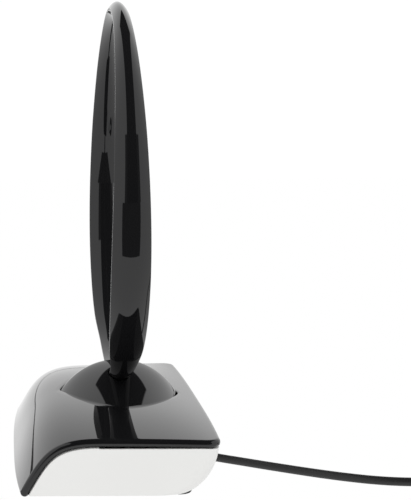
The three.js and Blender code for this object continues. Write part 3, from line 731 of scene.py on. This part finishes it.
SLEEVE_LINE = [
    (3.6, 25.3), (4.1, 25.3), (4.1, 33), (4.35, 33.2), (4.7, 33.6), (4.7, 40.6), (4.55, 41.2), (4.2, 41.6),
    (3.85, 41.6), (3.6, 41.2),
]
grip = turn_line("plug_grip", grip_line(), PLUG, upright=False)
sleeve_metal = turn_line("plug_barrel", SLEEVE_LINE, PLUG, upright=False)
SPACER_LINE = [(1.5, 25.3), (3.3, 25.3), (3.3, 31.8), (3.1, 32), (1.5, 32)]
NEEDLE_LINE = [(0, 25.3), (1.17, 25.3), (1.17, 39.6), (0.9, 40.5), (0.5, 41), (0, 41)]
HALF_SLIT, SLIT_REACH = 0.25, 6.0


def slit(wide, tall):
    """A cutter through the sleeve's open end."""
    square = ((-1, -1), (1, -1), (1, 1), (-1, 1))
    corners = [(i * wide, y, k * tall) for y in (36, 43) for i, k in square]
    faces = quads(2, 4, close_columns=True) + [(0, 1, 2, 3), (4, 5, 6, 7)]
    return moulding("slit", np.array(corners) + np.array(PLUG), faces)


cut(sleeve_metal, slit(HALF_SLIT, SLIT_REACH), slit(SLIT_REACH, HALF_SLIT), sharp=30)
insulator = turn_line("plug_spacer", SPACER_LINE, PLUG, upright=False)
pin = turn_line("plug_needle", NEEDLE_LINE, PLUG, upright=False)
put(grip, "base", "lead_jacket", "plug_body")
put(sleeve_metal, "base", "plated_contact", "plug_sleeve")
put(insulator, "base", "nylon", "plug_insulator")
put(pin, "base", "plated_contact", "plug_pin")

# %% [markdown]
# ## The coil's tie
# A short strap is drawn tight round the bundle, over all its turns but the innermost. It is flat where it
# spans the turns and round at its four corners.


# %% The strap
def strap_section(grow):
    """The strap's line round the bundle, in the plane across it, as (y, z)."""
    inner = COIL_Y + COIL_OUTER - 3 * COIL_PITCH
    outer = COIL_Y + COIL_OUTER
    radius = LEAD_DIAMETER / 2 + grow
    low, high = COIL_LOW, COIL_LOW + COIL_PITCH
    points = []
    for y, z, first in ((outer, low, -90), (outer, high, 0), (inner, high, 90), (inner, low, 180)):
        for step in range(9):
            angle = math.radians(first + step * 90 / 8)
            points.append((y + radius * math.cos(angle), z + radius * math.sin(angle)))
    return points


STRAP_EDGE = [
    (0.15, -3.6), (0.15, 3.6), (0.25, 3.9), (0.5, 3.9), (0.6, 3.6), (0.6, -3.6), (0.5, -3.9), (0.25, -3.9),
]


def strap():
    rings = [[(COIL_X + x, y, z) for y, z in strap_section(grow)] for grow, x in STRAP_EDGE]
    faces = quads(len(rings), len(rings[0]), close_rows=True, close_columns=True)
    return moulding("strap", np.vstack(rings), faces, 40)


tie = put(strap(), "base", "lead_jacket", "coil_tie")

# %% [markdown]
# ## The loop
# The loop is a closed ring whose section is a lens: two thin curved shells, one facing out and one facing
# in, that meet in a fine gap round both edges. It is slim at the top, broadest below its middle and narrow
# again where it goes down into the hub. A bevelled curve would give every place the same section, so each
# shell is a sheet of sections instead, turned round the ring and widened by a smooth measure of the width
# at each angle.

# %% The loop's measures
LOOP_CENTRE, LOOP_EDGE_RADIUS = 149.4, 103.0
LOOP_BULGE, EDGE_FLAT = 4.3, 0.7
BAND_WIDTHS = [
    (0, 8.8), (25, 9.9), (50, 13.2), (75, 17.0), (100, 19.8), (120, 20.2), (140, 18.3), (155, 13.9),
    (180, 12.0),
]
RIM_ROUND = 0.5


def lens_height(share):
    return EDGE_FLAT + (LOOP_BULGE - EDGE_FLAT) * (1 - share**2)


def ring_points(section_at, stations):
    """Points of sections round the ring. section_at(half width) gives (x, distance from its centre)."""
    rows = []
    for angle in np.linspace(0, 360, stations, endpoint=False):
        half = float(through(BAND_WIDTHS, min(angle, 360 - angle))) / 2
        turn = math.radians(angle)
        rows.append([(x, r * math.sin(turn), LOOP_CENTRE + r * math.cos(turn)) for x, r in section_at(half)])
    return np.vstack(rows), len(rows[0])


def ring_piece(name, section_at, stations, sharp=35):
    points, count = ring_points(section_at, stations)
    return moulding(name, points, quads(stations, count, close_rows=True, close_columns=True), sharp)


print("the loop is", 2 * (LOOP_EDGE_RADIUS + LOOP_BULGE), "mm across")


# %% The loop's two shells
def band(name, way, stations=360):
    """One shell: its lens face, its two rounded edges and the pocket that holds the conductor."""

    def radial(height):
        return LOOP_EDGE_RADIUS + way * height

    def section(half):
        slope = 2 * (LOOP_BULGE - EDGE_FLAT) / half
        start = math.atan2(1, slope)
        reach = half - RIM_ROUND * (1 - math.cos(start))
        face = [(reach * u, radial(lens_height(u * reach / half))) for u in np.linspace(-1, 1, 33)]
        centre = lens_height(reach / half) - RIM_ROUND * math.sin(start)
        rim = [
            (half - RIM_ROUND * (1 - math.cos(t)), radial(centre + RIM_ROUND * math.sin(t)))
            for t in np.linspace(start, 0, 6)[1:]
        ]
        seam = [(half, radial(0.2)), (half - 0.06, radial(GAP / 2))]
        pocket = [(0.72 * half, radial(GAP / 2)), (0.6 * half, radial(2.4))]
        right_side = rim + seam + pocket
        left_side = [(-x, r) for x, r in right_side[::-1]]
        return face + right_side + left_side

    return ring_piece(name, section, stations)


put(band("outer_shell", 1), "loop", "gloss_black", "loop_outer_band")
put(band("inner_shell", -1), "loop", "gloss_black", "loop_inner_band")

# %% [markdown]
# ## The hub
# The hub's shell is the outside of the spindle, a little more than what shows when the loop stands upright.
# Below that it steps inwards to a skirt, so that as the loop tilts the skirt comes into view first. At the
# full forward tilt a narrow crescent of the dark inside still shows behind the skirt. The shell is one
# sheet of sections along the axis. The two slots that the loop goes down through are cut with a ring of the
# loop's own shape, grown by the gap.

# %% The hub's shell
HUB_SKIN, SKIRT_STEP = 2.2, 3.4
CAP_ANGLE, SKIRT_ANGLE = 60.0, 73.0
STEP_ROUND = 0.5


def hub_section():
    """(inset from the spindle's surface, angle from upright) once round the shell's section."""
    half = [(0, a) for a in np.linspace(0, CAP_ANGLE - 0.7, 44)]
    half += [(0.15, CAP_ANGLE - 0.25), (STEP_ROUND, CAP_ANGLE), (SKIRT_STEP, CAP_ANGLE)]
    half += [(SKIRT_STEP, a) for a in np.linspace(CAP_ANGLE, SKIRT_ANGLE, 8)[1:]]
    half += [(SKIRT_STEP + 2, a) for a in np.linspace(SKIRT_ANGLE, CAP_ANGLE - 5, 10)]
    inner = [(HUB_SKIN, a) for a in np.linspace(CAP_ANGLE - 5, 0, 30)]
    half += inner
    return half + [(inset, -a) for inset, a in half[-2:0:-1]]


def hub_shell():
    section = np.array(hub_section())
    angle = np.radians(section[:, 1])
    rows = []
    for y in np.linspace(-HUB_HALF_LENGTH, HUB_HALF_LENGTH, 121):
        radius = hub_radius(y) - section[:, 0]
        x, z = radius * np.sin(angle), AXIS_HEIGHT + radius * np.cos(angle)
        rows.append(np.stack([x, 0 * angle + y, z], axis=1))
    count = len(section)
    faces = quads(len(rows), count, close_columns=True)
    faces += [tuple(range(count)), tuple(range((len(rows) - 1) * count, len(rows) * count))]
    return moulding("hub", np.vstack(rows), faces, 30)


def loop_space():
    """The loop's own section grown by the gap, for the slots."""

    def section(half):
        wide = half + GAP
        face = [(wide * u, lens_height(abs(u)) + GAP) for u in np.linspace(-1, 1, 17)]
        return [(x, LOOP_EDGE_RADIUS + h) for x, h in face] + [(-x, LOOP_EDGE_RADIUS - h) for x, h in face]

    return ring_piece("space", section, 240)


hub = hub_shell()
cut(hub, loop_space(), sharp=30)
put(hub, "loop", "gloss_black", "hub_shell")

# %% [markdown]
# ## Writing a finish as sums
# A finish in Blender is a tree of nodes. Linked by hand it takes many lines to say that a speck mask is
# turned round and multiplied. So a small class wraps a socket and lets ordinary sums on it add the Math
# nodes. Any other node comes from one method that takes the node's type, its settings and what goes into
# its sockets.


# %% Sockets that do sums
class Socket:
    """A value in a finish's node tree. Sums on it add Math nodes."""

    def __init__(self, finish, socket):
        self.finish, self.socket = finish, socket

    def sum(self, operation, first, second):
        return self.finish.node("ShaderNodeMath", {"operation": operation}, {0: first, 1: second})

    def __add__(self, other):
        return self.sum("ADD", self, other)

    def __sub__(self, other):
        return self.sum("SUBTRACT", self, other)

    def __rsub__(self, other):
        return self.sum("SUBTRACT", other, self)

    def __mul__(self, other):
        return self.sum("MULTIPLY", self, other)

    def __pow__(self, other):
        return self.sum("POWER", self, other)

    __radd__, __rmul__ = __add__, __mul__


class Finish:
    """A material with one shader, whose even values are set straight on its sockets."""

    def __init__(self, name, colour, **even):
        self.material = bpy.data.materials.new(name)
        self.material.use_nodes = True
        self.tree = self.material.node_tree
        self.shader = next(n for n in self.tree.nodes if n.type == "BSDF_PRINCIPLED")
        self.shader.inputs["Base Color"].default_value = (*colour, 1)
        for socket, value in even.items():
            self.shader.inputs[socket.replace("_", " ")].default_value = value
        self.place = self.node("ShaderNodeTexCoord", output="Object")

    def node(self, kind, settings=None, values=None, output=0):
        made = self.tree.nodes.new(kind)
        for setting, value in (settings or {}).items():
            setattr(made, setting, value)
        for socket, value in (values or {}).items():
            if isinstance(value, Socket):
                self.tree.links.new(value.socket, made.inputs[socket])
            else:
                made.inputs[socket].default_value = value
        return Socket(self, made.outputs[output])

    def noise(self, size, detail=2, roughness=0.5):
        """Soft blotches of about that size in metres."""
        values = {"Vector": self.place, "Scale": 1 / size, "Detail": detail, "Roughness": roughness}
        return self.node("ShaderNodeTexNoise", None, values, "Fac")

    def specks(self, size, share):
        """A mask of small grains, about that size in metres, over a share of the surface."""
        cells = self.node("ShaderNodeTexVoronoi", None, {"Vector": self.place, "Scale": 1 / size}, "Distance")
        return self.node("ShaderNodeMapRange", None, {"Value": cells, "From Min": share, "From Max": 0.0})

    def between(self, mask, low, high):
        return self.node("ShaderNodeMapRange", None, {"Value": mask, "To Min": low, "To Max": high})

    def colours(self, mask, first, second):
        """One colour where the mask is 0 and the other where it is 1."""
        made = self.tree.nodes.new("ShaderNodeMix")
        made.data_type = "RGBA"
        factor, low, high = made.inputs[0], made.inputs[6], made.inputs[7]
        self.tree.links.new(mask.socket, factor)
        low.default_value, high.default_value = (*first, 1), (*second, 1)
        return Socket(self, made.outputs[2])

    def feed(self, socket, value):
        self.tree.links.new(value.socket, self.shader.inputs[socket])
        return self

    def bump(self, height, depth, strength=1.0):
        """Raises the surface by height times depth, in metres."""
        values = {"Height": height, "Distance": depth, "Strength": strength}
        return self.feed("Normal", self.node("ShaderNodeBump", None, values, "Normal"))


print("a finish can add, take away, multiply and raise to a power")

# %% [markdown]
# ## Polished black
# The cover, the loop and the hub are black plastic from a mirror-polished mould. Nearly all that is seen of
# it is reflection, so its own colour is close to nothing. What keeps it from looking like glass is a very
# faint unevenness: handling leaves slightly duller patches, a little dust settles, and the surface has the
# long soft waves that every moulding has.


# %% Polished black
def gloss_black():
    finish = Finish("polished_black", (0.006, 0.006, 0.0065), Roughness=0.03, IOR=1.5)
    patches = finish.noise(0.035, 3, 0.6)
    dust = finish.specks(0.0028, 0.055)
    dulling = finish.between(patches ** 2, 0.02, 0.055) + dust * 0.25
    finish.feed("Roughness", dulling)
    finish.feed("Base Color", finish.colours(dust * 0.35, (0.006, 0.006, 0.0065), (0.06, 0.06, 0.058)))
    return finish.bump(finish.noise(0.05, 1), 0.00004)


# %% [markdown]
# ## Pale shell
# The tray is moulded in off-white plastic with a fine spark-eroded grain, which scatters the light softly.
# The grain is finer than a millimetre, so it is bump, and the colour drifts by a few percent as moulded
# whites do.


# %% Pale shell
def pale_shell():
    finish = Finish("grained_off_white", (0.78, 0.78, 0.765), Roughness=0.42, IOR=1.46)
    grain = finish.noise(0.0005, 4, 0.65)
    drift = finish.noise(0.06, 2)
    finish.feed("Base Color", finish.colours(drift, (0.79, 0.79, 0.775), (0.755, 0.755, 0.74)))
    finish.feed("Roughness", finish.between(grain, 0.36, 0.5))
    return finish.bump(grain, 0.00003)


# %% [markdown]
# ## Rubber, jacket and inner plastics
# Rubber feet and the relief are matt, with a dusty bloom. The lead's jacket is satin and slightly stippled
# from being drawn. The plastics inside the base are as they came out of the mould. All of them are one
# recipe with different grain: a mask of grain drives the roughness and bump, and soft blotches shift the
# colour.


# %% Dull plastics
def dull(name, dark, light, grain_size, rough, depth, blotch=0.02):
    finish = Finish(name, dark, IOR=1.5)
    grain = finish.noise(grain_size, 4, 0.6)
    blotches = finish.noise(blotch, 2)
    finish.feed("Base Color", finish.colours(blotches * 0.6 + grain * 0.4, dark, light))
    finish.feed("Roughness", finish.between(grain, *rough))
    return finish.bump(grain, depth)


# %% [markdown]
# ## Metals
# Zinc plate is bright but mottled, the plug's nickel is smoother, rolled strip has fine lines along it, and
# enamelled wire is copper under a warm varnish. One recipe again: blotches drive the roughness, and a
# stretched noise draws the lines where there are any.


# %% Metals
def metal(name, light, dark, rough, blotch=0.004, depth=0.00001):
    finish = Finish(name, light, Metallic=1.0)
    mottle = finish.noise(blotch, 4, 0.7)
    finish.feed("Base Color", finish.colours(mottle, light, dark))
    finish.feed("Roughness", finish.between(mottle, *rough))
    return finish.bump(finish.noise(blotch / 6, 3), depth)


# %% [markdown]
# ## Every slot gets its finish
# The record names a finish for every piece. Pieces made here and the frame's own pieces that still show are
# treated alike: each takes the finish of its slot.

# %% Finishes on pieces
FINISHES = {
    "gloss_black": gloss_black(),
    "pale_shell": pale_shell(),
    "rubber": dull("matt_rubber", (0.016, 0.016, 0.016), (0.03, 0.03, 0.029), 0.0006, (0.7, 0.95), 0.00006),
    "lead_jacket": dull(
        "satin_jacket", (0.004, 0.004, 0.0045), (0.009, 0.009, 0.009), 0.0007, (0.42, 0.56), 0.00003),
    "inner_plastic": dull(
        "moulded_black", (0.02, 0.02, 0.021), (0.035, 0.035, 0.035), 0.0009, (0.45, 0.65), 0.00004),
    "nylon": dull("white_nylon", (0.78, 0.77, 0.72), (0.84, 0.83, 0.8), 0.0012, (0.35, 0.5), 0.00002),
    "board": dull("solder_mask", (0.02, 0.13, 0.05), (0.03, 0.19, 0.08), 0.0025, (0.25, 0.4), 0.00003, 0.006),
    "ferrite": dull(
        "sintered_ferrite", (0.045, 0.045, 0.048), (0.08, 0.08, 0.083), 0.0005, (0.55, 0.8), 0.00005),
    "steel": metal("zinc_plate", (0.62, 0.63, 0.64), (0.45, 0.46, 0.48), (0.2, 0.42)),
    "plated_contact": metal("nickel_plate", (0.78, 0.77, 0.74), (0.7, 0.69, 0.66), (0.08, 0.2), 0.002),
    "loop_metal": metal("rolled_strip", (0.8, 0.81, 0.82), (0.68, 0.69, 0.7), (0.2, 0.4), 0.003),
    "copper_wire": metal("enamelled_copper", (0.72, 0.33, 0.14), (0.6, 0.24, 0.1), (0.15, 0.3), 0.003),
}
slot_of = {part["node"]: part["material_slot"] for part in frame["record"]["subparts"]}
for made in list(bpy.data.objects):
    if made.type not in ("MESH", "CURVE"):
        continue
    wanted = made.get("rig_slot") or slot_of[made.name]
    made.data.materials.clear()
    made.data.materials.append(FINISHES[wanted].material)
finished = [made for made in bpy.data.objects if made.type in ("MESH", "CURVE")]
print(len(FINISHES), "finishes on", len(finished), "pieces")

# %% [markdown]
# ## A studio for gloss
# Polished black shows the studio and little else. White panels stand to the left, right and behind, and a
# dark gap runs from the camera's side up over the top, so that curved parts get a pale side and a black
# core with a clean line between. Low down the gap is wider and a touch less dark, and behind, past the top,
# it tapers off. A mesh studio could do this, but a world shader gives the same reflections without lamps
# and panels that other views would have to step round. Only reflections see the dark gap: what the camera
# looks at directly, and the soft light on the pale shell, stay plain white.

# %% The world
GAP_MIDDLE, GAP_EDGE = 0.07, 0.03
HIGH_HALF_WIDTH, LOW_HALF_WIDTH = 0.46, 0.61
GAP_TAPER_START, GAP_TAPER_END = 0.6, 0.8
LOW_SLOPE, LOW_EDGE = 0.34, 0.01
LOW_DARKNESS = 0.93
world = bpy.data.worlds.new("studio")
bpy.context.scene.world = world
world.use_nodes = True


class Surroundings(Finish):
    """The world's tree, with the same way of writing sums as a finish."""

    def __init__(self, tree):
        self.tree = tree


around = Surroundings(world.node_tree)
direction = around.node("ShaderNodeTexCoord", output="Generated")
across, towards, height = (
    around.node("ShaderNodeSeparateXYZ", None, {0: direction}, axis) for axis in ("X", "Y", "Z")
)


def step_up(value, start, width):
    """0 below start, rising smoothly to 1 over the width."""
    values = {"Value": value, "From Min": start, "From Max": start + width}
    return around.node("ShaderNodeMapRange", {"interpolation_type": "SMOOTHSTEP"}, values)


sideways = around.node("ShaderNodeMath", {"operation": "ABSOLUTE"}, {0: across - GAP_MIDDLE})
taper = around.node(
    "ShaderNodeMapRange", None, {"Value": towards, "From Min": GAP_TAPER_START, "From Max": GAP_TAPER_END})
high_gap = 1 - step_up(sideways + taper * HIGH_HALF_WIDTH, HIGH_HALF_WIDTH - GAP_EDGE, GAP_EDGE)
low_down = 1 - step_up(height + towards * LOW_SLOPE, LOW_SLOPE - LOW_EDGE, LOW_EDGE)
low_gap = (1 - step_up(sideways, LOW_HALF_WIDTH - GAP_EDGE, GAP_EDGE)) * low_down * LOW_DARKNESS
either = around.node("ShaderNodeMath", {"operation": "MAXIMUM"}, {0: high_gap, 1: low_gap})
dark = either * around.node("ShaderNodeLightPath", output="Is Glossy Ray")
background = next(n for n in world.node_tree.nodes if n.type == "BACKGROUND")
background.inputs["Color"].default_value = (1, 1, 1, 1)
world.node_tree.links.new((1.02 - dark).socket, background.inputs["Strength"])
print("the dark gap is", round(2 * math.degrees(math.asin(HIGH_HALF_WIDTH))), "degrees wide overhead")

# %% [markdown]
# ## The table and the lamps
# The table is a sheet of white glass lit evenly from below, so it shows no shadow. In reflections it ends
# 17 cm in front of the base, in a shallow arc, and past that the gap's darkness goes on below it as a
# wedge.

# %% Table and lamps
TABLE_HALF = 3000
TABLE_TOP = -0.05
SHADE = (0.06, 0.06, 0.06)  # what the wedge shows in reflections
TABLE_FRONT, FRONT_ARC = -0.28, 1.0
WEDGE_START, WEDGE_SPREAD = -0.104, 0.84
corners = [(x, y, TABLE_TOP) for x, y in ((-1, -1), (1, -1), (1, 1), (-1, 1))]
corners = [(x * TABLE_HALF, y * TABLE_HALF, z) for x, y, z in corners]
table = moulding("table", corners, [(0, 1, 2, 3)])
glass = Finish("lit_glass", (0, 0, 0), Roughness=0.9, Specular_IOR_Level=0.0, Emission_Strength=1.0)
table_x, table_y = (glass.node("ShaderNodeSeparateXYZ", None, {0: glass.place}, axis) for axis in ("X", "Y"))
beside = glass.node("ShaderNodeMath", {"operation": "ABSOLUTE"}, {0: table_x - LOOP_PLANE})
past_front = glass.node("ShaderNodeMath", {"operation": "LESS_THAN"}, {
    0: table_y - beside * beside * FRONT_ARC, 1: TABLE_FRONT})
in_wedge = glass.node("ShaderNodeMath", {"operation": "GREATER_THAN"}, {
    0: WEDGE_START - table_y, 1: beside * (1 / WEDGE_SPREAD)})
mirrored = glass.node("ShaderNodeLightPath", output="Is Glossy Ray")
glass.feed("Emission Color", glass.colours(past_front * in_wedge * mirrored, (1, 1, 1), SHADE))
table.data.materials.append(glass.material)


def lamp(name, place, size, watts):
    light = bpy.data.lights.new(name, "AREA")
    light.energy, light.size = watts, size
    made = bpy.data.objects.new(name, light)
    bpy.context.scene.collection.objects.link(made)
    made.location = place
    made.rotation_euler = (Vector((0, 0, 0.05)) - Vector(place)).to_track_quat("-Z", "Y").to_euler()
    made.visible_glossy = False
    return made


lamp("lamp_above", (0.2, -0.3, 1.6), 1.6, 9)
bpy.context.scene.view_settings.view_transform = "Standard"
print("the table is", 2 * TABLE_HALF * MM, "m wide")
